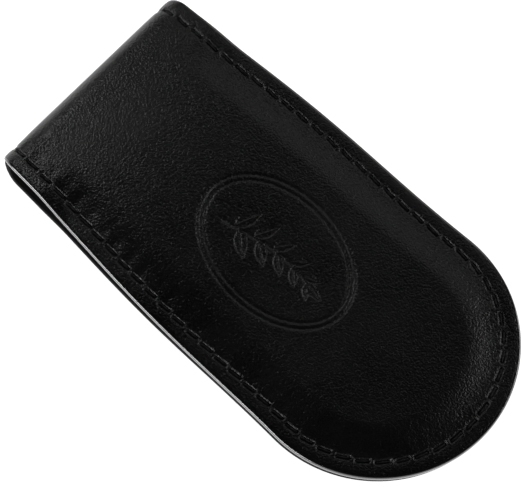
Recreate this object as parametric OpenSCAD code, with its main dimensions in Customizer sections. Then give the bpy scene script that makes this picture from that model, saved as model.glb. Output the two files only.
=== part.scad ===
// Folded leather money clip, closed by magnets in its two leaves.
// A strap of outer leather and a strap of lining are folded in half. The lower leaf lies on
// z = 0, the upper leaf lies over it, and +X runs from the fold to the round tip.
// The fold bends on two hinge lines in its outer surface, so its middle is a piece of its own.

/* [Outline] */
// Length of the closed clip, from the fold to the tip
clip_l = 83; // [76:1:90]
// Radius of the round tip
tip_r = 21.5; // [19:0.5:24]
// Angle at which each long side flares towards the tip
flare = 2.6; // [1:0.1:6]
// How far each long side bulges, halfway between the fold and the tip
side_bulge = 0.7; // [0:0.1:1]
// How far the lower leaf stops short of the upper leaf
tip_setback = 0.35; // [0:0.05:0.8]

/* [Layers] */
// Outer radius of the fold
fold_r = 3.5; // [3.4:0.1:4.2]
// Thickness of the outer leather
outer_t = 0.75; // [0.7:0.05:0.9]
// Thickness of the lining
lining_t = 0.55; // [0.5:0.05:0.6]
// Height of the padded middle above the rim
pad_h = 0.9; // [0.7:0.1:1.1]
// Share of that height which the padding fills, over the board
padding_share = 0.5; // [0.3:0.1:0.6]
// Gap between the two linings at the tip
leaf_gap = 0.25; // [0.2:0.05:0.5]
// Thickness of the coat of edge paint
paint_t = 0.25; // [0.15:0.05:0.4]

/* [Stitching] */
// Distance from the edge to the middle of the stitch line
stitch_inset = 2.6; // [2.2:0.1:3]
// Stitches from the fold to the middle of the tip, on one side
stitch_count = 30; // [24:1:34]
// Length of thread that shows between two holes
stitch_l = 2.3; // [1.8:0.1:2.4]
// Diameter of the needle thread, on the outer face
needle_d = 0.4; // [0.3:0.05:0.4]
// Diameter of the bobbin thread, on the lining
bobbin_d = 0.3; // [0.2:0.05:0.3]
// Width of the groove that the thread lies in
groove_w = 0.8; // [0.6:0.1:1]

/* [Magnets] */
// Diameter of each magnet
magnet_d = 12; // [8:1:14]
// Distance between the middles of a leaf's two magnets
magnet_spacing = 17; // [15:1:19]

/* [Hidden] */
$fn = 96;

// Thicknesses, counted inwards from the outer face of the padded middle
rim_t = outer_t + lining_t;
leaf_t = rim_t + pad_h;
fold_drop = 2 * (fold_r - leaf_t) - leaf_gap;

// Places along X. u is the distance from the line where the fold's curve ends.
fold_x = fold_r - clip_l / 2;
tip_x = clip_l / 2 - tip_r;
leaf_l = clip_l - fold_r;
ramp_u = [4.5, 12];
drop_u = [4.5, 48.5];
board_start_u = 7.5;
magnet_x = tip_x + 1;
bulge_end_x = tip_x - tip_r * sin(flare) - tip_setback;
bulge_steps = 12;

// Angles in the fold, from 0 at the lower leaf to 180 at the upper leaf. It bends a quarter and
// three quarters of the way round, and a gap of two cut angles is left on each of those lines.
hinge_angle = 45;
cut_angle = 1;
stitch_angle = 34;

// Clearances between pieces of one leaf
pocket_gap = 0.1;
thread_gap = 0.03;
needle_groove_t = needle_d + 0.05;
bobbin_groove_t = bobbin_d + 0.05;
pad_inset = stitch_inset + groove_w / 2 + 0.4;
pocket_inset = pad_inset + outer_t;

// How far a groove's cut runs past the face that it opens, and half of what is endless
overcut = 0.2;
big = 60;

// 0 before a, 1 after b, and an S-shaped rise between them
function ease(u, a, b) =
    let (t = min(1, max(0, (u - a) / (b - a)))) t * t * (3 - 2 * t);

// How far the rim lies inwards of the padded middle
function ramp(u) = pad_h * ease(u, ramp_u[0], ramp_u[1]);

// Height of a point at depth d, where d = [a, b] stands for a + b * ramp(u)
function leaf_z(upper, u, d) =
    let (depth = d[0] + d[1] * ramp(u))
    upper ? 2 * fold_r - fold_drop * ease(u, drop_u[0], drop_u[1]) - depth : depth;

// The tip circle's middle and radius. A set-back tip still touches both flared sides.
function tip_at(back) = tip_x - back / (1 + sin(flare));
function tip_radius(back) = tip_r - sin(flare) * back / (1 + sin(flare));

// How far a long side bulges at x. It is straight at both ends of the bulge.
function bulge(x) =
    let (t = min(1, max(0, (x - fold_x) / (bulge_end_x - fold_x))))
    side_bulge * pow(sin(180 * t), 2);

// Half the strap's width at x, a distance inset inside its edge
function half_width(x, inset) =
    (tip_r - inset + sin(flare) * (x - tip_x)) / cos(flare) + bulge(x);

// Angle between a long side and X at x
function side_heading(x) = atan2(half_width(x + 0.5, 0) - half_width(x - 0.5, 0), 1);

// ---- Plan shapes ----

module outline(inset, back) {
    x0 = -clip_l;
    x1 = tip_at(back) - (tip_radius(back) - inset) * sin(flare);
    bulge_step = (bulge_end_x - fold_x) / bulge_steps;
    xs = concat([x0], [for (i = [0:bulge_steps]) fold_x + i * bulge_step], [x1]);
    n = len(xs) - 1;
    polygon(concat([for (i = [0:n]) [xs[i], -half_width(xs[i], inset)]],
                   [for (i = [n:-1:0]) [xs[i], half_width(xs[i], inset)]]));
    translate([tip_at(back), 0]) circle(tip_radius(back) - inset);
}

module stitch_band(back) {
    difference() {
        outline(stitch_inset - groove_w / 2, back);
        outline(stitch_inset + groove_w / 2, back);
    }
}

module edge_band(back) {
    difference() {
        outline(0, back);
        outline(paint_t, back);
    }
}

// ---- Side profiles, drawn with x to the right and z upwards ----

// The length of a leaf from u0 to its tip, between depths d0 and d1
module leaf_profile(upper, d0, d1, u0 = 0) {
    us = concat([for (i = [0:12]) u0 + (ramp_u[1] + 1 - u0) * i / 12],
                [for (u = [16:3:drop_u[1] + 1]) u], [leaf_l + 1]);
    n = len(us) - 1;
    polygon(concat([for (i = [0:n]) [fold_x + us[i], leaf_z(upper, us[i], d0)]],
                   [for (i = [n:-1:0]) [fold_x + us[i], leaf_z(upper, us[i], d1)]]));
}

// Part of the fold from angle a to b, between depths d0 and d1. 0 is at the lower leaf.
module fold_profile(a, b, d0, d1) {
    function ray(angle, r) = [-r * sin(angle), -r * cos(angle)];
    translate([fold_x, fold_r])
        intersection() {
            difference() {
                circle(fold_r - d0);
                circle(fold_r - d1);
            }
            polygon([[0, 0], ray(a, 2 * fold_r), ray((a + b) / 2, 3 * fold_r), ray(b, 2 * fold_r)]);
        }
}

module across() {
    rotate([90, 0, 0]) linear_extrude(2 * big, center = true) children();
}

module upright() {
    linear_extrude(big, center = true) children();
}

// Puts what is drawn at the lower leaf's start at the upper leaf's start
module leaf_start(upper) {
    translate([0, 0, upper ? 2 * fold_r : 0]) mirror([0, 0, upper ? 1 : 0]) children();
}

// A layer of a leaf, with the leaf's own end of the fold's curve
module strap(upper, d0, d1) {
    union() {
        across() leaf_profile(upper, [d0, 1], [d1, 1]);
        leaf_start(upper) across() fold_profile(0, hinge_angle - cut_angle, d0, d1);
    }
}

// ---- Layers of a leaf ----

function back_of(upper) = upper ? 0 : tip_setback;

module strap_layer(upper, d0, d1) {
    intersection() {
        strap(upper, d0, d1);
        upright() outline(paint_t, back_of(upper));
    }
}

module groove(upper, d0, d1) {
    intersection() {
        strap(upper, d0, d1);
        upright() stitch_band(back_of(upper));
    }
}

// A layer of the padded middle, from u0 to the tip
module core_layer(upper, inset, d0, d1, u0) {
    intersection() {
        across() leaf_profile(upper, d0, d1, u0);
        upright() outline(inset, back_of(upper));
    }
}

module outer_leather(upper) {
    difference() {
        union() {
            strap_layer(upper, 0, outer_t);
            core_layer(upper, pad_inset, [0, 0], [outer_t / 2, 1], ramp_u[0]);
        }
        core_layer(upper, pocket_inset, [outer_t, 0], [outer_t + 1, 1], ramp_u[0]);
        groove(upper, -overcut, needle_groove_t);
    }
}

module lining(upper) {
    difference() {
        strap_layer(upper, outer_t, rim_t);
        groove(upper, rim_t - bobbin_groove_t, rim_t + overcut);
    }
}

module edge_paint(upper) {
    intersection() {
        strap(upper, 0, rim_t);
        upright() edge_band(back_of(upper));
    }
}

module magnet_places() {
    for (side = [-1, 1]) translate([magnet_x, side * magnet_spacing / 2]) children();
}

module magnet_holes() {
    upright() magnet_places() circle(magnet_d / 2 + pocket_gap);
}

module padding(upper) {
    difference() {
        core_layer(upper, pocket_inset + pocket_gap, [outer_t, 0], [outer_t, padding_share],
                   board_start_u);
        magnet_holes();
    }
}

module stiffener_board(upper) {
    difference() {
        core_layer(upper, pocket_inset + pocket_gap, [outer_t, padding_share], [outer_t, 1],
                   board_start_u);
        magnet_holes();
    }
}

module magnet(upper, side) {
    z0 = leaf_z(upper, leaf_l, [outer_t, upper ? 1 : 0]);
    translate([magnet_x, side * magnet_spacing / 2, z0]) cylinder(h = pad_h, d = magnet_d);
}

// ---- Thread ----

// Place and heading of the point a distance s along the stitch line, from the fold
function stitch_at(s, back) =
    let (r = tip_radius(back) - stitch_inset,
         x1 = tip_at(back) - r * sin(flare),
         straight = (x1 - fold_x) / cos(flare),
         x = fold_x + s * cos(flare),
         turn = 90 + flare - (s - straight) / r * 180 / PI)
    s <= straight
        ? [x, half_width(x, stitch_inset), side_heading(x)]
        : [tip_at(back) + r * cos(turn), r * sin(turn), turn - 90];

// Length of the stitch line from the fold to the middle of the tip
function stitch_line_l(back) =
    let (r = tip_radius(back) - stitch_inset)
    (tip_at(back) - r * sin(flare) - fold_x) / cos(flare) + r * (90 + flare) * PI / 180;

// One stitch, with its two ends at the given depth below the rim's outer face
module stitch(upper, s, back, d, depth) {
    at = stitch_at(s, back);
    u = at[0] - fold_x;
    reach = stitch_l / 2 * cos(at[2]);
    z0 = leaf_z(upper, u - reach, [depth, 1]);
    z1 = leaf_z(upper, u + reach, [depth, 1]);
    translate([at[0], at[1], (z0 + z1) / 2])
        rotate([0, 0, at[2]])
            rotate([0, 90 - atan((z1 - z0) / stitch_l), 0])
                cylinder(h = stitch_l, d = d, center = true);
}

// One stitch in the fold's curve, from angle a to b, at a radius from the fold's middle
module fold_stitch(a, b, r, d) {
    y = half_width(fold_x, stitch_inset);
    translate([fold_x, 0, fold_r])
        rotate([90, 0, 0])
            rotate([0, 0, 270 - b])
                rotate_extrude(angle = b - a) translate([r, y]) circle(d / 2, $fn = 24);
}

module both_sides() {
    children();
    mirror([0, 1, 0]) children();
}

// A stitch in the fold's curve, halfway round each stretch of one hinge angle
module fold_stitches(counts, d, depth) {
    for (n = counts)
        fold_stitch((n - 0.5) * hinge_angle - stitch_angle / 2,
                    (n - 0.5) * hinge_angle + stitch_angle / 2, fold_r - depth, d);
}

// All of one thread on a leaf, with the stitch in the leaf's own end of the fold
module leaf_thread(upper, d, depth) {
    back = back_of(upper);
    pitch = stitch_line_l(back) / (stitch_count - 0.5);
    both_sides() {
        for (i = [1:stitch_count - 1]) stitch(upper, (i - 0.5) * pitch, back, d, depth);
        leaf_start(upper) fold_stitches([1], d, depth);
    }
    stitch(upper, (stitch_count - 0.5) * pitch, back, d, depth);
}

needle_depth = needle_groove_t - needle_d / 2 - thread_gap;
bobbin_depth = rim_t - bobbin_groove_t + bobbin_d / 2 + thread_gap;

// ---- Middle of the fold ----

module fold_layer(d0, d1) {
    across() fold_profile(hinge_angle + cut_angle, 180 - hinge_angle - cut_angle, d0, d1);
}

module fold_outer_leather() {
    difference() {
        intersection() {
            fold_layer(0, outer_t);
            upright() outline(paint_t, 0);
        }
        intersection() {
            fold_layer(-overcut, needle_groove_t);
            upright() stitch_band(0);
        }
    }
}

module fold_lining() {
    difference() {
        intersection() {
            fold_layer(outer_t, rim_t);
            upright() outline(paint_t, 0);
        }
        intersection() {
            fold_layer(rim_t - bobbin_groove_t, rim_t + overcut);
            upright() stitch_band(0);
        }
    }
}

module fold_edge_paint() {
    intersection() {
        fold_layer(0, rim_t);
        upright() edge_band(0);
    }
}

module fold_thread() {
    both_sides() {
        fold_stitches([2, 3], needle_d, needle_depth);
        fold_stitches([2, 3], bobbin_d, bobbin_depth);
    }
}

// ---- Colours ----

module leather_black() { color([0.06, 0.06, 0.06]) children(); }
module lining_black() { color([0.1, 0.095, 0.09]) children(); }
module paint_black() { color([0.02, 0.02, 0.02]) children(); }
module thread_black() { color([0.16, 0.16, 0.17]) children(); }
module board_grey() { color([0.5, 0.48, 0.44]) children(); }
module padding_cream() { color([0.85, 0.82, 0.7]) children(); }
module nickel() { color([0.75, 0.76, 0.78]) children(); }

// ---- Nodes ----

leather_black() outer_leather(false);  // lower_outer_leather
lining_black() lining(false);  // lower_lining
board_grey() stiffener_board(false);  // lower_stiffener_board
padding_cream() padding(false);  // lower_padding
nickel() magnet(false, 1);  // lower_left_magnet
nickel() magnet(false, -1);  // lower_right_magnet
thread_black() leaf_thread(false, needle_d, needle_depth);  // lower_needle_thread
thread_black() leaf_thread(false, bobbin_d, bobbin_depth);  // lower_bobbin_thread
paint_black() edge_paint(false);  // lower_edge_paint

leather_black() fold_outer_leather();
lining_black() fold_lining();
thread_black() fold_thread();
paint_black() fold_edge_paint();

leather_black() outer_leather(true);  // upper_outer_leather
lining_black() lining(true);  // upper_lining
board_grey() stiffener_board(true);  // upper_stiffener_board
padding_cream() padding(true);  // upper_padding
nickel() magnet(true, 1);  // upper_left_magnet
nickel() magnet(true, -1);  // upper_right_magnet
thread_black() leaf_thread(true, needle_d, needle_depth);  // upper_needle_thread
thread_black() leaf_thread(true, bobbin_d, bobbin_depth);  // upper_bobbin_thread
paint_black() edge_paint(true);  // upper_edge_paint
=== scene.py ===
"""Looks of the folded leather money clip, built round its CAD frame.

Lengths are millimetres up to the moment a mesh is made. The strap is described flat: s runs
along its outer face from the line where the fold's curve ends (negative in the curve, positive
towards the round tip), y runs across it, and depth runs inwards from the outer face.
"""
import math

import bmesh
import bpy
import numpy as np
from mathutils import Matrix, Vector


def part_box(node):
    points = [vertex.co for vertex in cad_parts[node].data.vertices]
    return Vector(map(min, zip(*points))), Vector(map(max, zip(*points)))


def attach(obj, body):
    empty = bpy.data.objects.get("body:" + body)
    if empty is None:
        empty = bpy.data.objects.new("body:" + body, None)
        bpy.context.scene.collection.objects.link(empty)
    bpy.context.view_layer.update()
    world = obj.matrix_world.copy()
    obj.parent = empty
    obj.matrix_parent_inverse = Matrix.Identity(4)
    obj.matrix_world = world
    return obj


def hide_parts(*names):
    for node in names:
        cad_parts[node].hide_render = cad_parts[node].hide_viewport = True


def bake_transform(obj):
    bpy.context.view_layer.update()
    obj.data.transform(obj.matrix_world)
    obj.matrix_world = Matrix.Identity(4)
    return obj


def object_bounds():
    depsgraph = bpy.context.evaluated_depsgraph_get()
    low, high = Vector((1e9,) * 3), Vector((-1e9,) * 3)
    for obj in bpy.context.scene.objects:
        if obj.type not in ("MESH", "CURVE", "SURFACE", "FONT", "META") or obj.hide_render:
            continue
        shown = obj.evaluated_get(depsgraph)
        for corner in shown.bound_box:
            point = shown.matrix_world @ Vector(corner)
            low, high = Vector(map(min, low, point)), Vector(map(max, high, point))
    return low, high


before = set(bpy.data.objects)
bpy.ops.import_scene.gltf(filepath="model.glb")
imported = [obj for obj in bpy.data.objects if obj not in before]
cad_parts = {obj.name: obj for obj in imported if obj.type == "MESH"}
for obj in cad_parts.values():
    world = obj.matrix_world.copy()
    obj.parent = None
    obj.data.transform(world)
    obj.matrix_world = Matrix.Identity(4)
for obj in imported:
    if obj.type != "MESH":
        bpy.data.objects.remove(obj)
cad_box = [list(corner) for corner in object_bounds()]

MM = 0.001
TAU = 2 * math.pi

# ---- Sizes, from the frame ----

CAD_LOW, CAD_HIGH = (np.array(corner) / MM for corner in cad_box)
LOWER_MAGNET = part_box("lower_left_magnet")
UPPER_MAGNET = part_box("upper_left_magnet")

FOLD_R = CAD_HIGH[2] / 2
TIP_R = CAD_HIGH[1]
FOLD_X = CAD_LOW[0] + FOLD_R
TIP_X = CAD_HIGH[0] - TIP_R
TIP_SETBACK = CAD_HIGH[0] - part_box("lower_edge_paint")[1].x / MM
PAD_H = (LOWER_MAGNET[1].z - LOWER_MAGNET[0].z) / MM
OUTER_T = LOWER_MAGNET[0].z / MM
LEAF_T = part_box("lower_lining")[1].z / MM
RIM_T = LEAF_T - PAD_H
MAGNET_R = (UPPER_MAGNET[1].x - UPPER_MAGNET[0].x) / 2 / MM
MAGNET_X = (UPPER_MAGNET[1].x + UPPER_MAGNET[0].x) / 2 / MM
MAGNET_Y = (UPPER_MAGNET[1].y + UPPER_MAGNET[0].y) / 2 / MM
PAINT_T = TIP_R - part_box("upper_outer_leather")[1].y / MM
FOLD_DROP = 2 * FOLD_R - (UPPER_MAGNET[1].z / MM + OUTER_T)

# ---- Sizes that the frame doesn't give ----

FLARE = math.radians(2.6)
SIN_F, COS_F = math.sin(FLARE), math.cos(FLARE)
SIDE_BULGE = 0.7
BULGE_END_X = TIP_X - TIP_R * SIN_F - TIP_SETBACK
PADDING_STARTS, PADDING_FULL = 4.5, 12
DROP_STARTS, DROP_FULL = 4.5, 48.5
HALF_FOLD = FOLD_R * math.pi / 2
HINGE_ARC = HALF_FOLD / 2
STITCH_INSET = 2.6
STITCHES = 30
STITCH_L = 2.3
NEEDLE_R, NEEDLE_SUNK, NEEDLE_DIVE = 0.19, 0.42, 0.25
BOBBIN_R, BOBBIN_SUNK, BOBBIN_DIVE = 0.14, 0.16, 0.30
THREAD_SIDES = 14
PLIES = 3
PLY_TURN_MM = 3.3
PLY_RELIEF = 0.13
STITCH_SLANT = 0.10
FOLD_PINCH = 0.8
PUCKER_END = 6.6

# The distance along the stitch line that is given to points away from it.
OFF_THE_LINE = 1e3


def ease(value, start, end):
    """0 before start, 1 after end, and an S-shaped rise between them."""
    t = np.clip((value - start) / (end - start), 0, 1)
    return t * t * (3 - 2 * t)


def hill(value, width):
    """1 at 0, falling off smoothly to either side."""
    return np.exp(-(value / width) ** 2)


def ramp(s):
    """How far the rim lies inwards of the padded middle."""
    return PAD_H * ease(s, PADDING_STARTS, PADDING_FULL)


def x_of(s):
    """x of a point of the outer face."""
    return np.where(s < 0, FOLD_X + FOLD_R * np.sin(np.minimum(s, 0) / FOLD_R), FOLD_X + s)


def half_width(s, inset):
    """Half the strap's width beside the tip, a distance inset inside its edge.

    Each long side bulges a little, and the leather draws in where it is bent.
    """
    pinch = FOLD_PINCH * (1 - np.cos(np.minimum(s, 0) / FOLD_R))
    bulge = SIDE_BULGE * np.sin(math.pi * np.clip(s / (BULGE_END_X - FOLD_X), 0, 1)) ** 2
    return (TIP_R - inset + SIN_F * (x_of(s) - TIP_X)) / COS_F + bulge - pinch


def place(upper, s, y, depth):
    """Points of one half of the strap, closed round the fold."""
    arc = np.minimum(s, 0) / FOLD_R
    r = FOLD_R - depth
    x = np.where(s < 0, FOLD_X + r * np.sin(arc), FOLD_X + s)
    drop = FOLD_DROP * ease(s, DROP_STARTS, DROP_FULL) if upper else 0
    z = np.where(s < 0, FOLD_R - r * np.cos(arc), depth + drop)
    z = 2 * FOLD_R - z if upper else z
    return np.stack(np.broadcast_arrays(x, y, z), axis=-1)


class Outline:
    """The edge of one leaf in plan, with its stitch line."""

    def __init__(self, upper):
        back = 0 if upper else TIP_SETBACK
        self.tip_x = TIP_X - back / (1 + SIN_F)
        self.tip_r = TIP_R - SIN_F * back / (1 + SIN_F)
        self.straight_s = self.tip_x - self.tip_r * SIN_F - FOLD_X
        self.stitch_r = self.tip_r - STITCH_INSET
        self.stitch_straight = (self.tip_x - self.stitch_r * SIN_F - FOLD_X) / COS_F
        self.stitch_l = self.stitch_straight + self.stitch_r * (math.pi / 2 + FLARE)
        self.pitch = self.stitch_l / (STITCHES - 0.5)

    def inset(self, s, y):
        """Distance of a point inside the edge."""
        x = x_of(s)
        beside = (half_width(s, 0) - np.abs(y)) * COS_F
        round_tip = self.tip_r - np.hypot(x - self.tip_x, y)
        before_tip = (x - self.tip_x) * COS_F + np.abs(y) * SIN_F < 0
        return np.where(before_tip, beside, round_tip)

    def along(self, t, inset, side):
        """s and y of the point a distance t along the stitch line, moved to another inset."""
        t, inset = np.broadcast_arrays(np.asarray(t, float), np.asarray(inset, float))
        inwards = inset - STITCH_INSET
        s_straight = t * COS_F + inwards * SIN_F
        y_straight = half_width(np.maximum(t, 0) * COS_F, STITCH_INSET) - inwards * COS_F
        turn = math.pi / 2 + FLARE - (t - self.stitch_straight) / self.stitch_r
        r = self.tip_r - inset
        s_tip = self.tip_x + r * np.cos(turn) - FOLD_X
        y_tip = r * np.sin(turn)
        s = np.where(t < 0, t, np.where(t < self.stitch_straight, s_straight, s_tip))
        y = np.where(t < 0, half_width(t, inset),
                     np.where(t < self.stitch_straight, y_straight, y_tip))
        return s, y * side

    def stitch_phase(self, t):
        """Stitches counted along t: whole numbers are holes, halves the middles of stitches."""
        return np.where(t < 0, t / HINGE_ARC, t / self.pitch)

    def from_middle(self, t):
        """Distance along the line from the middle of the nearest stitch."""
        phase = self.stitch_phase(t)
        return (phase - np.floor(phase) - 0.5) * np.where(t < 0, HINGE_ARC, self.pitch)


OUTLINES = {False: Outline(False), True: Outline(True)}


def steps(*stretches):
    """Points from one end to the other: each stretch is (start, end, most that a step may be)."""
    points = []
    for start, end, step in stretches:
        count = max(1, math.ceil(abs(end - start) / step))
        points.extend(np.linspace(start, end, count, endpoint=False))
    return np.array(points + [stretches[-1][1]])


class Sheet:
    """A closed mesh of one layer of half the strap.

    Rows of points run along the whole edge, from the seam in the fold round the tip and back.
    They lie from well inside the hidden face, over the rim, to the inset of the last row on the
    shown face, whose middle is a grid.
    """

    def __init__(self, upper, columns, across, tip_columns):
        self.outline = OUTLINES[upper]
        self.upper = upper
        self.columns = columns
        self.across = across
        self.tip_columns = tip_columns

    def edge_line(self, inset):
        """s, y and distance along the stitch line, for each point of a row at an inset."""
        o = self.outline
        lean = np.clip(self.columns / o.straight_s, 0, 1) * SIN_F
        s_side = self.columns + lean * inset
        y_side = half_width(s_side, inset)
        t_side = self.columns + lean * STITCH_INSET
        t_side = np.where(self.columns < 0, t_side, t_side / COS_F)
        start, corner = math.pi / 2 + FLARE, math.pi / 4
        turn = np.concatenate([np.linspace(start, corner, self.tip_columns + 1)[1:],
                               (self.across * corner)[1:],
                               np.linspace(-corner, -start, self.tip_columns + 1)[1:-1]])
        r = o.tip_r - inset
        s_tip = o.tip_x + r * np.cos(turn) - FOLD_X
        t_tip = o.stitch_straight + o.stitch_r * (start - np.abs(turn))
        return (np.concatenate([s_side, s_tip, s_side[::-1]]),
                np.concatenate([y_side, r * np.sin(turn), -y_side[::-1]]),
                np.concatenate([t_side, t_tip, t_side[::-1]]))

    def middle(self, inset):
        """s and y of the grid inside a row: one array beside the tip and one in it."""
        s, y, _ = self.edge_line(inset)
        n, a, j = len(self.columns), self.tip_columns, len(self.across) - 1
        beside = (np.repeat(s[:n, None], j + 1, 1), y[:n, None] * self.across[None, :])
        first = n - 1
        top = slice(first, first + a + 1)
        right = slice(first + a, first + a + j + 1)
        bottom = np.arange(first + 2 * a + j, first + a + j - 1, -1)
        u = np.linspace(0, 1, a + 1)[:, None]
        v = ((1 - self.across) / 2)[None, :]
        patch = []
        for f, line in ((s, beside[0][-1]), (y, beside[1][-1])):
            patch.append((1 - u) * line[None, :] + u * f[right][None, :]
                         + (1 - v) * f[top][:, None] + v * f[bottom][:, None]
                         - (1 - u) * (1 - v) * f[top][0] - u * (1 - v) * f[top][-1]
                         - (1 - u) * v * f[bottom][0] - u * v * f[bottom][-1])
        return beside, tuple(patch)

    def build(self, name, rows, shown_depth):
        """The mesh of a layer.

        rows are (inset, depth function) from the hidden face to the edge of the shown face's
        middle, and shown_depth is the depth of that middle.
        """
        points, quads = [], []
        for inset, depth in rows:
            s, y, t = self.edge_line(inset)
            points.append(place(self.upper, s, y, depth(s, y, np.full_like(s, inset), t)))
        n, a, j = len(self.columns), self.tip_columns, len(self.across) - 1
        wide = len(points[0])
        last = (len(rows) - 1) * wide
        k = np.arange(len(rows) - 1)[:, None] * wide
        c = np.arange(wide - 1)[None, :]
        quads.append(np.stack([k + c, k + c + 1, k + c + 1 + wide, k + c + wide], -1).reshape(-1, 4))
        (s1, y1), (s2, y2) = self.middle(rows[-1][0])
        inner1 = np.s_[:, 1:-1]
        inner2 = np.s_[1:-1, 1:-1]
        count = len(rows) * wide
        beside = np.zeros((n, j + 1), int)
        beside[:, 0] = last + np.arange(n)
        beside[:, -1] = last + wide - 1 - np.arange(n)
        beside[:, 1:-1] = count + np.arange(n * (j - 1)).reshape(n, j - 1)
        count += n * (j - 1)
        tip = np.zeros((a + 1, j + 1), int)
        tip[0] = beside[-1]
        tip[:, 0] = last + n - 1 + np.arange(a + 1)
        tip[-1] = last + n - 1 + a + np.arange(j + 1)
        tip[:, -1] = last + n - 1 + 2 * a + j - np.arange(a + 1)
        tip[1:-1, 1:-1] = count + np.arange((a - 1) * (j - 1)).reshape(a - 1, j - 1)
        for s, y, inner in ((s1, y1, inner1), (s2, y2, inner2)):
            s, y = s[inner].ravel(), y[inner].ravel()
            t = np.full_like(s, OFF_THE_LINE)
            points.append(place(self.upper, s, y,
                                shown_depth(s, y, self.outline.inset(s, y), t)))
        for g in (beside, tip):
            cells = [g[:-1, :-1], g[1:, :-1], g[1:, 1:], g[:-1, 1:]]
            quads.append(np.stack(cells, -1).reshape(-1, 4))
        quads = np.concatenate(quads)
        side = np.arange(n - 1)
        hidden = np.stack([side + 1, side, wide - 1 - side, wide - 2 - side], -1)
        tip_face = list(range(wide - n, n - 2, -1))
        rows_in = np.arange(len(rows)) * wide
        seam = [*rows_in, *beside[0, 1:-1], *(rows_in[::-1] + wide - 1)]
        return closed_mesh(name, np.concatenate(points), quads, [*hidden.tolist(), tip_face, seam])


def closed_mesh(name, points, quads, flat_faces):
    """A mesh object from points in millimetres. The flat faces are hidden ones."""
    faces = quads.tolist() + [[int(v) for v in f] for f in flat_faces]
    if signed_volume(points, quads) < 0:
        faces = [f[::-1] for f in faces]
    mesh = bpy.data.meshes.new(name)
    mesh.from_pydata((points * MM).tolist(), [], faces)
    sharp = np.zeros(len(faces), bool)
    sharp[len(quads):] = True
    mesh.attributes.new("sharp_face", "BOOLEAN", "FACE").data.foreach_set("value", sharp)
    mesh.validate()
    mesh.update()
    piece = bpy.data.objects.new(name, mesh)
    bpy.context.scene.collection.objects.link(piece)
    return piece


def signed_volume(points, quads):
    """Volume under the quads, seen from their own middle: its sign says which way they face."""
    p = points - points.mean(0)
    a, b, c, d = (p[quads[:, k]] for k in range(4))
    return float((a * np.cross(b, c)).sum() + (a * np.cross(c, d)).sum())


def tube(path, across, up, radius):
    """Points and quads of a plied thread, with open ends.

    across and up are unit vectors square to the path, and radius has one value for each point.
    """
    n, sides = len(path), THREAD_SIDES
    turn = np.arange(sides) / sides * TAU
    along = np.concatenate([[0], np.cumsum(np.linalg.norm(np.diff(path, axis=0), axis=1))])
    twist = TAU / PLY_TURN_MM
    wave = 1 + PLY_RELIEF * np.cos(PLIES * (turn[None, :] - twist * along[:, None]))
    r = radius[:, None] * wave
    ring = (path[:, None, :] + across[:, None, :] * (r * np.cos(turn))[..., None]
            + up[:, None, :] * (r * np.sin(turn))[..., None])
    return ring.reshape(-1, 3), round_quads(n, sides)


def round_quads(rings, sides):
    """The quads between neighbouring rings of points."""
    i = np.arange(rings - 1)[:, None] * sides
    k = np.arange(sides)[None, :]
    after = (k + 1) % sides
    return np.stack([i + k, i + after, i + sides + after, i + sides + k], -1).reshape(-1, 4)


# ---- Relief of the faces, as depth to add ----

STITCH_HALF = 1.12
FURROW_DEPTH, FURROW_W = 0.05, 0.75
BEAD_HEIGHT, BEAD_L, BEAD_W = 0.07, 0.20, 0.40
PUCKER_HEIGHT, BENT_PUCKER_HEIGHT = 0.02, 0.05
PUFF_FROM, PUFF_TO = 2.9, 8.6
MAGNET_RISE = 0.06


def rounded_edge(inset, width, amount):
    """How far a face turns away beside its rim."""
    return amount * np.clip(1 - inset / width, 0, 1) ** 2


def stitch_relief(outline, inset, t, slot_depth, slot_width):
    """The furrow that the thread has pulled, a slot under each stitch, and a bead between them."""
    q = outline.from_middle(t)
    which = np.floor(outline.stitch_phase(t))
    uneven = np.sin(5.1 * which) * np.sin(1.7 * which + 1)
    off = inset - STITCH_INSET - STITCH_SLANT * q - 0.05 * uneven
    half = STITCH_HALF + 0.10 * uneven
    slot = slot_depth * (1 - ease(np.abs(q), half - 0.15, half + 0.2)) * hill(off, slot_width)
    between = hill(outline.pitch / 2 - np.abs(q), BEAD_L)
    bead = (BEAD_HEIGHT + 0.04 * uneven) * between * hill(off, BEAD_W)
    return FURROW_DEPTH * hill(inset - STITCH_INSET, FURROW_W) + slot - bead


def puckers(outline, y, inset, t):
    """Uneven ridges across the edge, between the stitches, which fade out on the padding."""
    phase = outline.stitch_phase(t)
    uneven = np.sin(2.3 * phase + 4 * np.sign(y)) * np.sin(0.71 * phase + 1.3)
    outside = hill(inset - STITCH_INSET + 0.6, 0.7) * (inset < STITCH_INSET)
    inside = ease(inset, STITCH_INSET, 3.3) * (1 - ease(inset, 4.2, PUCKER_END))
    ridge = 0.5 - 0.5 * np.cos(phase * TAU + 0.5 * uneven)
    where_bent = ease(-y, 0, 10) * (1 - ease(t, 18, 38))
    height = (PUCKER_HEIGHT + BENT_PUCKER_HEIGHT * where_bent) * (1 + 0.7 * uneven)
    return height * (0.35 * outside + inside) * ridge ** 1.5


def puff(inset):
    """0 on the rim and 1 on the padded middle."""
    return ease(inset, PUFF_FROM, PUFF_TO)


CREST_X, CREST_Y = -0.5, -0.55
CREST_A, CREST_B = 14.0, 9.75
CREST_TURN = math.radians(-3.5)
CREST_LINE_GAP = 0.95
CREST_LINE_W = 0.27
CREST_DEPTH = 0.12
SPRIG_LEAVES = 5
SPRIG_LEAF_L = 4.9
SPRIG_STEM_W = 0.30
SPRIG_X, SPRIG_Y = -9.0, -1.6
SPRIG_L = 15.5
SPRIG_WAVE = 1.9
SPRIG_TURN = 2.6
SPRIG_PHASE = 0.5
NEARLY_ZERO = 1e-6


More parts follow.
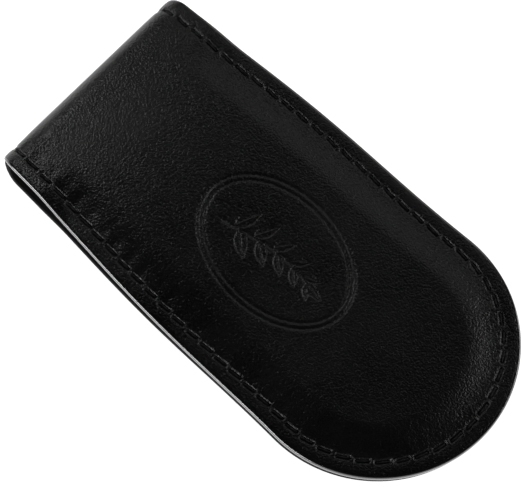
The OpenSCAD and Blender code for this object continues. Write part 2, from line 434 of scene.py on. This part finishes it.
def sprig_stem(v):
    """A point of the sprig's stem and its heading, for v from 0 to 1."""
    turn = SPRIG_TURN * v - SPRIG_PHASE
    x = SPRIG_X + SPRIG_L * v
    y = SPRIG_Y + SPRIG_WAVE * np.sin(turn)
    heading = math.atan2(SPRIG_WAVE * SPRIG_TURN * math.cos(turn), SPRIG_L)
    return x, y, heading


def leaf_mark(x, y, base_x, base_y, heading, length, width):
    """Depth of one pressed leaf, with its vein left standing."""
    c, s = math.cos(heading), math.sin(heading)
    share = ((x - base_x) * c + (y - base_y) * s) / length
    off = -(x - base_x) * s + (y - base_y) * c
    half = width / 2 * np.sin(math.pi * np.clip(share, 0, 1) ** 0.8)
    body = ease(half - np.abs(off), 0, 0.28) * (share > 0) * (share < 1)
    vein = hill(off, 0.13) * ease(share, 0.05, 0.2) * (1 - ease(share, 0.75, 0.95))
    return body * (1 - 0.75 * vein)


def crest(s, y):
    """The oval stamp on the upper leaf: two rings and a plain leafy sprig."""
    dx = x_of(s) - CREST_X
    dy = y - CREST_Y
    c, k = math.cos(CREST_TURN), math.sin(CREST_TURN)
    x, y = dx * c + dy * k, -dx * k + dy * c
    lines = 0
    for gap, strength in ((0, 1.0), (CREST_LINE_GAP, 0.85)):
        a, b = CREST_A - gap, CREST_B - gap
        reach = np.hypot(x / a, y / b)
        slope = np.hypot(x / a ** 2, y / b ** 2) / np.maximum(reach, NEARLY_ZERO)
        off = (reach - 1) / np.maximum(slope, NEARLY_ZERO)
        lines = lines + strength * hill(off, CREST_LINE_W)
    mark = np.zeros_like(x)
    for v in np.linspace(0, 1, 40):
        px, py, _ = sprig_stem(v)
        mark = np.maximum(mark, hill(np.hypot(x - px, y - py), SPRIG_STEM_W))
    for i in range(SPRIG_LEAVES):
        v = 0.14 + 0.84 * i / (SPRIG_LEAVES - 1)
        for side in (-1, 1):
            px, py, heading = sprig_stem(v - 0.03 * side)
            size = SPRIG_LEAF_L - 0.45 * i
            heading = heading + side * (0.95 - 0.07 * i)
            mark = np.maximum(mark, leaf_mark(x, y, px, py, heading, size, 0.46 * size))
    px, py, heading = sprig_stem(1)
    mark = np.maximum(mark, leaf_mark(x, y, px, py, heading, 4.0, 1.7))
    return CREST_DEPTH * (lines + 1.15 * mark)


def outer_depth(upper):
    """The depth function of the outer leather's shown face."""
    outline = OUTLINES[upper]

    def depth(s, y, inset, t):
        d = ramp(s) * (1 - puff(inset)) + rounded_edge(inset, 1.1, 0.16)
        sewn = inset < PUCKER_END
        d = d + np.where(sewn, stitch_relief(outline, inset, t, 0.46, 0.30), 0)
        d = d + np.where(sewn, puckers(outline, y, inset, t), 0)
        if upper:
            d = d + crest(s, y)
        return d

    return depth


def lining_depth(upper):
    """The depth function of the lining's shown face."""
    outline = OUTLINES[upper]

    def depth(s, y, inset, t):
        d = RIM_T + ramp(s) - rounded_edge(inset, 0.9, 0.12)
        d = d - np.where(inset < PUCKER_END, stitch_relief(outline, inset, t, 0.20, 0.24), 0)
        for side in (-1, 1):
            r = np.hypot(x_of(s) - MAGNET_X, y - side * MAGNET_Y)
            d = d + MAGNET_RISE * (1 - ease(r, MAGNET_R - 0.4, MAGNET_R + 0.7))
        return d

    return depth


def level(base, padded=1.0):
    """A depth function: base, plus the given share of the padding's height."""
    def depth(s, y, inset, t):
        return base + padded * ramp(s)

    return depth


def under_leather(gap=0.0):
    """A depth function: the flesh side of the outer leather, or a gap inwards of it."""
    def depth(s, y, inset, t):
        return OUTER_T + gap + ramp(s) * (1 - puff(inset))

    return depth


def leather_wall(shown, share):
    """A depth function for the rim: share runs from 0 at the shown face to 1 at the hidden one."""
    def depth(s, y, inset, t):
        return (1 - share) * shown(s, y, inset, t) + share * (OUTER_T + ramp(s))

    return depth


# ---- Pieces of the strap ----

SEAM_STEP = 0.03
CREST_MARGIN = 1.5
FINE_FROM = CREST_X - CREST_A - CREST_MARGIN - FOLD_X
FINE_TO = CREST_X + CREST_A + CREST_MARGIN - FOLD_X
FINE_SHARE = 0.76
EDGE_INSETS = steps((PAINT_T, 0.9, 0.13), (0.9, 1.9, 0.25), (1.9, 3.3, 0.12), (3.3, PUCKER_END, 0.35))


def strap_columns(upper, step, fine):
    """s of the columns from the seam to the tip, closer together beside the stamp."""
    end = OUTLINES[upper].straight_s
    return steps((-HALF_FOLD, -HALF_FOLD + SEAM_STEP, SEAM_STEP), (-HALF_FOLD + SEAM_STEP, 0, step),
                 (0, FINE_FROM, step), (FINE_FROM, FINE_TO, fine), (FINE_TO, end, step))


def outer_leather(upper):
    """The outer leather, meshed finely on the upper leaf, where it is stamped."""
    leaf = "upper" if upper else "lower"
    if upper:
        fine = 0.18
        across = steps((1, FINE_SHARE, 0.024), (FINE_SHARE, -FINE_SHARE, 0.0118),
                       (-FINE_SHARE, -1, 0.024))
    else:
        fine = 0.3
        across = steps((1, -1, 0.02))
    sheet = Sheet(upper, strap_columns(upper, 0.25, fine), across, 76)
    shown = outer_depth(upper)
    rows = [(inset, under_leather()) for inset in (9.0, 7.4, 5.8, 4.4, 2.9, 0.25)]
    rows += [(EDGE_INSETS[0], leather_wall(shown, 0.5))]
    rows += [(inset, shown) for inset in EDGE_INSETS]
    piece = sheet.build(f"{leaf}_leather", rows, shown)
    return finish_half(piece, leather,
                       [f"{leaf}_outer_leather", "fold_outer_leather"])


def lining(upper):
    """The lining, with a slight rise over each magnet."""
    leaf = "upper" if upper else "lower"
    sheet = Sheet(upper, strap_columns(upper, 0.3, 0.3), steps((1, -1, 0.02)), 60)
    shown = lining_depth(upper)
    hidden = level(OUTER_T)
    rows = [(4.0, hidden), (0.25, hidden)]
    rows += [(EDGE_INSETS[0], level((OUTER_T + RIM_T) / 2))]
    rows += [(inset, shown) for inset in EDGE_INSETS]
    piece = sheet.build(f"{leaf}_lining_skin", rows, shown)
    return finish_half(piece, lining_leather,
                       [f"{leaf}_lining", "fold_lining"])


def edge_paint(upper):
    """A bead of paint round the rim, lapping a little onto both faces."""
    leaf = "upper" if upper else "lower"
    sheet = Sheet(upper, strap_columns(upper, 0.35, 0.35), steps((1, -1, 0.025)), 50)
    shown, back = outer_depth(upper), lining_depth(upper)
    lap, proud = 0.40, 0.015
    section = []
    for turn in np.linspace(-1, 1, 15):
        c, k = math.cos(turn * math.pi / 2), math.sin(turn * math.pi / 2)
        share = 0.5 + 0.5 * math.copysign(abs(k) ** 0.75, k)
        section.append((lap - lap * c ** 0.55, share))
    core_inset = PAINT_T + 0.02
    section += [(core_inset, 0.88), (core_inset, 0.12)]
    points = []
    for inset, share in section:
        s, y, _ = sheet.edge_line(inset)
        at = np.full_like(s, max(inset, PAINT_T))
        t = np.full_like(s, OFF_THE_LINE)
        top = shown(s, y, at, t) - proud
        bottom = back(s, y, at, t) + proud
        points.append(place(upper, s, y, top + (bottom - top) * share))
    wide = len(points[0])
    n = len(section)
    i = np.arange(n)[:, None] * wide
    after = ((np.arange(n) + 1) % n)[:, None] * wide
    c = np.arange(wide - 1)[None, :]
    quads = np.stack([i + c, i + c + 1, after + c + 1, after + c], -1).reshape(-1, 4)
    ends = [[k * wide for k in range(n)], [k * wide + wide - 1 for k in range(n)][::-1]]
    piece = closed_mesh(f"{leaf}_edge_bead", np.concatenate(points), quads, ends)
    return finish_half(piece, glossy_paint if upper else rubbed_paint,
                       [f"{leaf}_edge_paint", "fold_edge_paint"])


def thread(upper, inner):
    """One thread of half the strap: each stitch is twisted, and dives into its holes."""
    leaf = "upper" if upper else "lower"
    outline = OUTLINES[upper]
    middles = [-1.5 * HINGE_ARC, -0.5 * HINGE_ARC]
    middles += [(i + 0.5) * outline.pitch for i in range(STITCHES - 1)]
    radius = BOBBIN_R if inner else NEEDLE_R
    stitches = [(m, side) for m in middles for side in (-1, 1)]
    stitches.append(((STITCHES - 0.5) * outline.pitch, 1))
    reach = STITCH_L / 2 + 0.12
    q = np.linspace(-1, 1, 19)
    q = reach * np.sign(q) * np.abs(q) ** 0.8
    fall = (np.abs(q) / reach) ** 5
    points, quads, caps, count = [], [], [], 0
    for middle, side in stitches:
        t = middle + q
        s, y = outline.along(t, STITCH_INSET + STITCH_SLANT * q, side)
        if middle > outline.stitch_l - 0.1:
            turn = q / outline.stitch_r
            s = outline.tip_x - FOLD_X + outline.stitch_r * np.cos(turn)
            y = outline.stitch_r * np.sin(turn)
        if inner:
            depth = RIM_T + ramp(s) - BOBBIN_SUNK - BOBBIN_DIVE * fall
        else:
            depth = ramp(s) + NEEDLE_SUNK + NEEDLE_DIVE * fall
        path = place(upper, s, y, depth)
        out = place(upper, s, y, depth - 0.01) - path
        up = out / np.linalg.norm(out, axis=1)[:, None]
        tangent = np.gradient(path, axis=0)
        across = np.cross(tangent, up)
        across /= np.linalg.norm(across, axis=1)[:, None]
        r = radius * (1 - 0.35 * fall)
        ring_points, ring_quads = tube(path, across, up, r)
        points.append(ring_points)
        quads.append(ring_quads + count)
        first, count = count, count + len(ring_points)
        caps.append(list(range(first, first + THREAD_SIDES))[::-1])
        caps.append(list(range(count - THREAD_SIDES, count)))
    kind = "bobbin" if inner else "needle"
    points, quads = np.concatenate(points), np.concatenate(quads)
    piece = closed_mesh(f"{leaf}_{kind}_stitches", points, quads, caps)
    return finish_half(piece, thread_fibre,
                       [f"{leaf}_{kind}_thread", "fold_thread"])


def finish_half(piece, material, nodes):
    """Gives a piece its material, bakes its placement into its mesh, and hides the parts of the frame
    that it stands for.
    """
    piece.data.materials.append(material())
    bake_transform(piece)
    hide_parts(*nodes)
    return piece


# ---- Materials ----

NOISE_LOW, NOISE_HIGH = 0.3, 0.7


def node_material(name):
    """A material by name, with its node tree only while it is still to be made."""
    material = bpy.data.materials.get(name)
    if material:
        return material, None
    material = bpy.data.materials.new(name)
    material.use_nodes = True
    return material, material.node_tree


class Graph:
    """Short ways to add nodes to a material."""

    def __init__(self, tree):
        self.tree = tree
        self.shader = tree.nodes["Principled BSDF"]
        self.position = tree.nodes.new("ShaderNodeTexCoord").outputs["Object"]

    def node(self, kind, **settings):
        """A new node with its settings."""
        made = self.tree.nodes.new(kind)
        for key, value in settings.items():
            setattr(made, key, value)
        return made

    def link(self, source, target):
        self.tree.links.new(source, target)

    def noise(self, per_mm, detail, roughness=0.5, source=None):
        """Soft noise, nearly all of it from NOISE_LOW to NOISE_HIGH."""
        made = self.node("ShaderNodeTexNoise")
        made.inputs["Scale"].default_value = per_mm / MM
        made.inputs["Detail"].default_value = detail
        made.inputs["Roughness"].default_value = roughness
        self.link(source or self.position, made.inputs["Vector"])
        return made.outputs["Fac"]

    def cells(self, per_mm, source=None, feature="F1"):
        """Distance from the middle of the nearest cell, or from its edge."""
        made = self.node("ShaderNodeTexVoronoi", feature=feature)
        made.inputs["Scale"].default_value = per_mm / MM
        self.link(source or self.position, made.inputs["Vector"])
        return made.outputs["Distance"]

    def math(self, operation, a, b):
        """a and b, each a socket or a number, added or multiplied."""
        made = self.node("ShaderNodeMath", operation=operation)
        for socket, value in zip(made.inputs, (a, b)):
            self.feed(socket, value)
        return made.outputs[0]

    def feed(self, socket, value):
        """Sets a socket to a number, or links another socket to it."""
        if isinstance(value, (int, float)):
            socket.default_value = value
        else:
            self.link(value, socket)

    def spread(self, value, from_low, from_high, to_low, to_high):
        """A value mapped from one range to another, and held at the range's ends."""
        made = self.node("ShaderNodeMapRange")
        made.inputs["From Min"].default_value = from_low
        made.inputs["From Max"].default_value = from_high
        made.inputs["To Min"].default_value = to_low
        made.inputs["To Max"].default_value = to_high
        self.link(value, made.inputs["Value"])
        return made.outputs["Result"]

    def spread_noise(self, value, to_low, to_high):
        """A noise mapped to the given range."""
        return self.spread(value, NOISE_LOW, NOISE_HIGH, to_low, to_high)

    def mix(self, share, low_colour, high_colour):
        """The colour a share of the way from one colour to the other."""
        made = self.node("ShaderNodeMix", data_type="RGBA")
        self.link(share, made.inputs["Factor"])
        made.inputs["A"].default_value = (*low_colour, 1)
        made.inputs["B"].default_value = (*high_colour, 1)
        return made.outputs["Result"]

    def warped(self, per_mm, amount_mm):
        """The position, pushed about by noise."""
        noise = self.node("ShaderNodeTexNoise")
        noise.inputs["Scale"].default_value = per_mm / MM
        noise.inputs["Detail"].default_value = 2
        self.link(self.position, noise.inputs["Vector"])
        centred = self.node("ShaderNodeVectorMath", operation="SUBTRACT")
        self.link(noise.outputs["Color"], centred.inputs[0])
        centred.inputs[1].default_value = (0.5, 0.5, 0.5)
        scaled = self.node("ShaderNodeVectorMath", operation="SCALE")
        self.link(centred.outputs[0], scaled.inputs[0])
        scaled.inputs["Scale"].default_value = amount_mm * MM
        added = self.node("ShaderNodeVectorMath", operation="ADD")
        self.link(self.position, added.inputs[0])
        self.link(scaled.outputs[0], added.inputs[1])
        return added.outputs[0]

    def bump(self, height, height_mm, strength=1.0):
        """A normal for relief: height is a share of height_mm."""
        made = self.node("ShaderNodeBump")
        made.inputs["Strength"].default_value = strength
        made.inputs["Distance"].default_value = height_mm * MM
        self.link(height, made.inputs["Height"])
        return made.outputs["Normal"]

    def set(self, **sockets):
        """Sets sockets of the shader by their short names."""
        names = {"color": "Base Color", "roughness": "Roughness", "normal": "Normal",
                 "metallic": "Metallic", "specular": "Specular IOR Level", "coat": "Coat Weight",
                 "coat_roughness": "Coat Roughness", "sheen": "Sheen Weight"}
        for key, value in sockets.items():
            self.feed(self.shader.inputs[names[key]], value)


def leather():
    """Black calf leather with a fine pebbled grain and creases."""
    material, tree = node_material("black_calf_leather")
    if tree is None:
        return material
    g = Graph(tree)
    warped = g.warped(1.3, 0.25)
    pebbles = g.cells(3.1, warped)
    creases = g.cells(1.5, warped, "DISTANCE_TO_EDGE")
    fine = g.noise(8.0, 3)
    broad = g.noise(0.09, 4)
    crease_height = g.spread(creases, 0.0, 0.12, 0.0, 1.0)
    grain = g.math("ADD", g.math("MULTIPLY", pebbles, -0.9), g.math("MULTIPLY", crease_height, 0.22))
    grain = g.math("ADD", grain, g.math("MULTIPLY", fine, 0.30))
    tone = g.spread_noise(broad, 0.0, 1.0)
    # Random tone, with the grain's creases painted darker: painted shade in the creases.
    tone_and_crease_shade = g.math("MULTIPLY", tone, g.spread(crease_height, 0, 1, 0.55, 1.0))
    polish = g.math("ADD", g.spread_noise(broad, -0.03, 0.05), g.spread_noise(fine, 0.22, 0.38))
    g.set(color=g.mix(tone_and_crease_shade, (0.0008, 0.0008, 0.0008), (0.0022, 0.0022, 0.0021)),
          roughness=polish, normal=g.bump(grain, 0.058, 1.0), specular=0.45)
    return material


def lining_leather():
    """Smooth black lining leather with small pores."""
    material, tree = node_material("black_lining_leather")
    if tree is None:
        return material
    g = Graph(tree)
    warped = g.warped(1.5, 0.25)
    pores = g.cells(3.4, warped)
    fine = g.noise(9.0, 4)
    broad = g.noise(0.12, 4)
    height = g.math("ADD", g.math("MULTIPLY", g.spread(pores, 0, 0.25, 0, 1), 0.6),
                    g.math("MULTIPLY", fine, 0.5))
    tone = g.spread_noise(broad, 0, 1)
    g.set(color=g.mix(tone, (0.0030, 0.0029, 0.0028), (0.0075, 0.0072, 0.0068)),
          roughness=g.spread_noise(fine, 0.50, 0.64),
          normal=g.bump(height, 0.03, 0.8), specular=0.4)
    return material


def glossy_paint():
    """Black edge paint as it was put on."""
    material, tree = node_material("glossy_edge_paint")
    if tree:
        brush_paint(tree, dullest=0.24, glossiest=0.14, specular=1.0, coat=0.6)
    return material


def rubbed_paint():
    """Black edge paint that the table has rubbed matt."""
    material, tree = node_material("rubbed_edge_paint")
    if tree:
        brush_paint(tree, dullest=0.74, glossiest=0.62, specular=0.12, coat=0.0)
    return material


def brush_paint(tree, dullest, glossiest, specular, coat):
    """Makes a material of edge paint, brushed on by hand, so a little uneven."""
    g = Graph(tree)
    runs = g.noise(0.8, 3)
    specks = g.noise(6.0, 2)
    height = g.math("ADD", g.math("MULTIPLY", runs, 0.8), g.math("MULTIPLY", specks, 0.2))
    g.set(color=g.mix(runs, (0.004, 0.004, 0.004), (0.009, 0.009, 0.009)),
          roughness=g.spread_noise(specks, glossiest, dullest),
          normal=g.bump(height, 0.05, 0.7), specular=specular, coat=coat, coat_roughness=0.10)


def thread_fibre():
    """Bonded black polyester thread, with the fibres of its plies."""
    material, tree = node_material("black_bonded_thread")
    if tree is None:
        return material
    g = Graph(tree)
    fibres = g.noise(14.0, 3)
    broad = g.noise(0.6, 2)
    g.set(color=g.mix(fibres, (0.002, 0.002, 0.002), (0.008, 0.008, 0.009)),
          roughness=g.spread_noise(broad, 0.45, 0.60),
          normal=g.bump(fibres, 0.03, 0.8), specular=0.35)
    return material


def foam():
    """Cream latex foam with open cells."""
    material, tree = node_material("cream_foam")
    if tree is None:
        return material
    g = Graph(tree)
    pores = g.cells(2.2, g.warped(2.0, 0.2))
    broad = g.noise(0.2, 3)
    # The recessed cells are painted darker: painted shade in the pores, over a random tone.
    g.set(color=g.mix(g.math("MULTIPLY", g.spread(pores, 0, 0.4, 0, 1), broad),
                      (0.42, 0.37, 0.24), (0.78, 0.72, 0.52)),
          roughness=g.spread(broad, 0, 1, 0.8, 0.95),
          normal=g.bump(g.spread(pores, 0, 0.35, 0, 1), 0.15, 1.0), sheen=0.2)
    return material


def fibre_board():
    """Grey-brown pressed board with long fibres in it."""
    material, tree = node_material("grey_fibre_board")
    if tree is None:
        return material
    g = Graph(tree)
    stretched = g.node("ShaderNodeMapping")
    stretched.inputs["Scale"].default_value = (0.25, 1.6, 1)
    g.link(g.warped(0.8, 0.6), stretched.inputs["Vector"])
    fibres = g.noise(3.0, 5, 0.7, stretched.outputs["Vector"])
    flecks = g.cells(0.9)
    share = g.math("MULTIPLY", fibres, g.spread(flecks, 0.05, 0.2, 0.6, 1.0))
    g.set(color=g.mix(share, (0.20, 0.18, 0.15), (0.52, 0.48, 0.41)),
          roughness=g.spread(fibres, 0.2, 0.8, 0.75, 0.92), normal=g.bump(fibres, 0.05, 0.8))
    return material


def nickel():
    """Bright nickel plating with fine marks and a few scuffs."""
    material, tree = node_material("nickel_plating")
    if tree is None:
        return material
    g = Graph(tree)
    scuffs = g.noise(1.5, 6, 0.7)
    marks = g.noise(12.0, 2)
    g.set(color=g.mix(scuffs, (0.55, 0.56, 0.57), (0.78, 0.77, 0.74)), metallic=1.0,
          roughness=g.spread_noise(scuffs, 0.16, 0.34), normal=g.bump(marks, 0.008, 0.6))
    return material


# ---- Inner pieces, sealed in the leaves ----

CORE_START = 7.5
PAD_EDGE, BOARD_EDGE = 4.6, 6.3
PAD_FULL = 9.0
BOARD_CORNER = 0.2
BOARD_SHARE = 0.5
FIT_GAP = 0.01
HOLE_GAP = 0.05
HOLE_SIDES = 72
MAGNET_ROUNDING = 0.18
MAGNET_SIDES = 96


def core_piece(name, upper, rows, shown):
    """A closed layer of the core, with round holes for the two magnets."""
    columns = steps((CORE_START, OUTLINES[upper].straight_s, 0.5))
    sheet = Sheet(upper, columns, steps((1, -1, 0.04)), 40)
    piece = sheet.build(name, rows, shown)
    for side in ("left", "right"):
        low_corner, high_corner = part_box(f"{name.split('_')[0]}_{side}_magnet")
        cut_hole(piece, (low_corner + high_corner) / 2, (MAGNET_R + HOLE_GAP) * MM)
    return piece


def cut_hole(piece, middle, radius):
    """Cuts an upright round hole through a piece. Lengths are metres."""
    mesh = bpy.data.meshes.new("hole")
    drill = bpy.data.objects.new("hole", mesh)
    bpy.context.scene.collection.objects.link(drill)
    form = bmesh.new()
    bmesh.ops.create_cone(form, cap_ends=True, segments=HOLE_SIDES, radius1=radius,
                          radius2=radius, depth=0.01, matrix=Matrix.Translation(middle))
    form.to_mesh(mesh)
    form.free()
    cut = piece.modifiers.new("hole", "BOOLEAN")
    cut.operation = "DIFFERENCE"
    cut.solver = "EXACT"
    cut.object = drill
    with bpy.context.temp_override(object=piece, active_object=piece):
        bpy.ops.object.modifier_apply(modifier=cut.name)
    bpy.data.objects.remove(drill)
    bpy.data.meshes.remove(mesh)


def stiffener(upper):
    """The board: a plate that ends well inside the stitching, with a trimmed corner."""
    leaf = "upper" if upper else "lower"
    top = level(OUTER_T + FIT_GAP, 1 - BOARD_SHARE)
    bottom = level(OUTER_T - FIT_GAP)
    rows = [(BOARD_EDGE + BOARD_CORNER, bottom), (BOARD_EDGE, level(OUTER_T, 0.92)),
            (BOARD_EDGE, level(OUTER_T, 0.58)), (BOARD_EDGE + BOARD_CORNER, top)]
    piece = core_piece(f"{leaf}_board", upper, rows, top)
    return finish_core(piece, upper, fibre_board, f"{leaf}_stiffener_board")


def pad(upper):
    """The foam: it fills the room under the leather and tapers off towards the stitches."""
    leaf = "upper" if upper else "lower"
    top = under_leather(FIT_GAP)
    over_board = level(OUTER_T - FIT_GAP, 1 - BOARD_SHARE)
    beside_board = level(OUTER_T - FIT_GAP)
    rows = [(BOARD_EDGE + 0.6, over_board), (BOARD_EDGE - 0.1, over_board),
            (BOARD_EDGE - 0.1, beside_board), (PAD_EDGE, beside_board)]
    rows += [(inset, top) for inset in steps((PAD_EDGE, PAD_FULL, 0.4))]
    piece = core_piece(f"{leaf}_foam", upper, rows, top)
    return finish_core(piece, upper, foam, f"{leaf}_padding")


def magnet(node):
    """A plated disc with rounded edges."""
    low_corner, high_corner = (np.array(corner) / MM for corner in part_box(node))
    middle = (low_corner + high_corner) / 2
    radius = (high_corner[0] - low_corner[0]) / 2
    half = (high_corner[2] - low_corner[2]) / 2
    edge = MAGNET_ROUNDING
    turn = np.linspace(0, math.pi / 2, 7)
    r = np.concatenate([[0.35 * radius, 0.8 * radius], radius - edge + edge * np.sin(turn)])
    z = np.concatenate([[half, half], half - edge + edge * np.cos(turn)])
    r, z = np.concatenate([r, r[::-1]]), np.concatenate([z, -z[::-1]])
    sides = MAGNET_SIDES
    around = np.arange(sides) / sides * TAU
    ring = np.stack([r[:, None] * np.cos(around), r[:, None] * np.sin(around),
                     np.repeat(z[:, None], sides, 1)], -1)
    quads = round_quads(len(r), sides)
    last = (len(r) - 1) * sides
    caps = [list(range(sides)), list(range(last + sides - 1, last - 1, -1))]
    piece = closed_mesh(f"{node}_disc", ring.reshape(-1, 3) + middle, quads, caps)
    return finish_core(piece, "upper" in node, nickel, node)


def finish_core(piece, upper, material, node):
    """Gives an inner piece its material, and lets it ride on its leaf."""
    piece.data.materials.clear()
    piece.data.materials.append(material())
    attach(piece, "upper_leaf" if upper else "lower_leaf")
    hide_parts(node)
    return piece


# ---- Stage ----

PICTURE_W = 522
CAMERA_AWAY = 0.5
PIXELS_PER_MM = 6.583
AIM = Vector((-3.61, -0.63, 2.84)) * MM
SENSOR_MM = 36
FLOOR_HALF = 3.0
HORIZON_STRENGTH, OVERHEAD_STRENGTH = 1.0, 0.005
HORIZON_TOP, OVERHEAD_FROM = math.radians(5), math.radians(24)


def stand(thing, target, azimuth, elevation, away):
    """Links a camera or light at a distance from its target, facing it. Angles are degrees."""
    a, e = math.radians(azimuth), math.radians(elevation)
    back = Vector((math.sin(a) * math.cos(e), -math.cos(a) * math.cos(e), math.sin(e)))
    thing.location = target + back * away
    thing.rotation_euler = (-back).to_track_quat("-Z", "Y").to_euler()
    bpy.context.scene.collection.objects.link(thing)


def make_camera():
    """The camera, where the photo's seems to have been."""
    data = bpy.data.cameras.new("camera")
    data.sensor_width = SENSOR_MM
    data.lens = PIXELS_PER_MM * CAMERA_AWAY / MM / PICTURE_W * SENSOR_MM
    data.clip_start, data.clip_end = 0.01, 20
    camera = bpy.data.objects.new("camera", data)
    stand(camera, AIM, azimuth=43.5, elevation=70, away=CAMERA_AWAY)
    bpy.context.scene.camera = camera


def make_light(name, azimuth, elevation, away, size, power):
    """A white area light that faces the clip, with its angles measured like the camera's."""
    data = bpy.data.lights.new(name, "AREA")
    data.shape = "RECTANGLE"
    data.size, data.size_y = size
    data.energy = power
    light = bpy.data.objects.new(name, data)
    stand(light, Vector((0, 0, 0)), azimuth, elevation, away)


def make_floor():
    """A lit white table, so that the object stands on plain white with hardly a shadow."""
    mesh = bpy.data.meshes.new("floor")
    r = FLOOR_HALF
    mesh.from_pydata([(-r, -r, 0), (r, -r, 0), (r, r, 0), (-r, r, 0)], [], [(0, 1, 2, 3)])
    floor = bpy.data.objects.new("floor", mesh)
    bpy.context.scene.collection.objects.link(floor)
    material = bpy.data.materials.new("pale_floor")
    material.use_nodes = True
    shader = material.node_tree.nodes["Principled BSDF"]
    shader.inputs["Base Color"].default_value = (0.90, 0.90, 0.90, 1)
    shader.inputs["Roughness"].default_value = 0.9
    shader.inputs["Specular IOR Level"].default_value = 0.1
    shader.inputs["Emission Color"].default_value = (1, 1, 1, 1)
    shader.inputs["Emission Strength"].default_value = 0.93
    mesh.materials.append(material)


def make_world():
    """A studio that is white along the horizon and dim overhead."""
    world = bpy.data.worlds.new("studio")
    world.use_nodes = True
    tree = world.node_tree
    direction = tree.nodes.new("ShaderNodeTexCoord").outputs["Generated"]
    split = tree.nodes.new("ShaderNodeSeparateXYZ")
    tree.links.new(direction, split.inputs[0])
    fade = tree.nodes.new("ShaderNodeMapRange")
    fade.interpolation_type = "SMOOTHSTEP"
    fade.inputs["From Min"].default_value = math.sin(HORIZON_TOP)
    fade.inputs["From Max"].default_value = math.sin(OVERHEAD_FROM)
    fade.inputs["To Min"].default_value = HORIZON_STRENGTH
    fade.inputs["To Max"].default_value = OVERHEAD_STRENGTH
    tree.links.new(split.outputs["Z"], fade.inputs["Value"])
    tree.links.new(fade.outputs["Result"], tree.nodes["Background"].inputs["Strength"])
    tree.nodes["Background"].inputs["Color"].default_value = (1, 1, 1, 1)
    bpy.context.scene.world = world
    bpy.context.scene.view_settings.view_transform = "Standard"


def make_lights():
    """A soft light from afar, small near ones beside and behind the clip, and one for its near edge."""
    make_light("floor", azimuth=42, elevation=32, away=1.3, size=(1.2, 0.8), power=0.6)
    make_light("beside_fold", azimuth=-88, elevation=44, away=0.12, size=(0.03, 0.03), power=0.017)
    make_light("behind_strap", azimuth=-155, elevation=46, away=0.16, size=(0.12, 0.05), power=0.015)
    make_light("behind_tip", azimuth=140, elevation=30, away=0.26, size=(0.16, 0.08), power=0.18)
    make_light("near_edge", azimuth=-15, elevation=13, away=0.5, size=(0.5, 0.05), power=1.0)


make_camera()
make_floor()
make_world()
make_lights()
for is_upper in (False, True):
    outer_leather(is_upper)
    lining(is_upper)
    edge_paint(is_upper)
    thread(is_upper, False)
    thread(is_upper, True)
    stiffener(is_upper)
    pad(is_upper)
for node_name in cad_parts:
    if node_name.endswith("_magnet"):
        magnet(node_name)
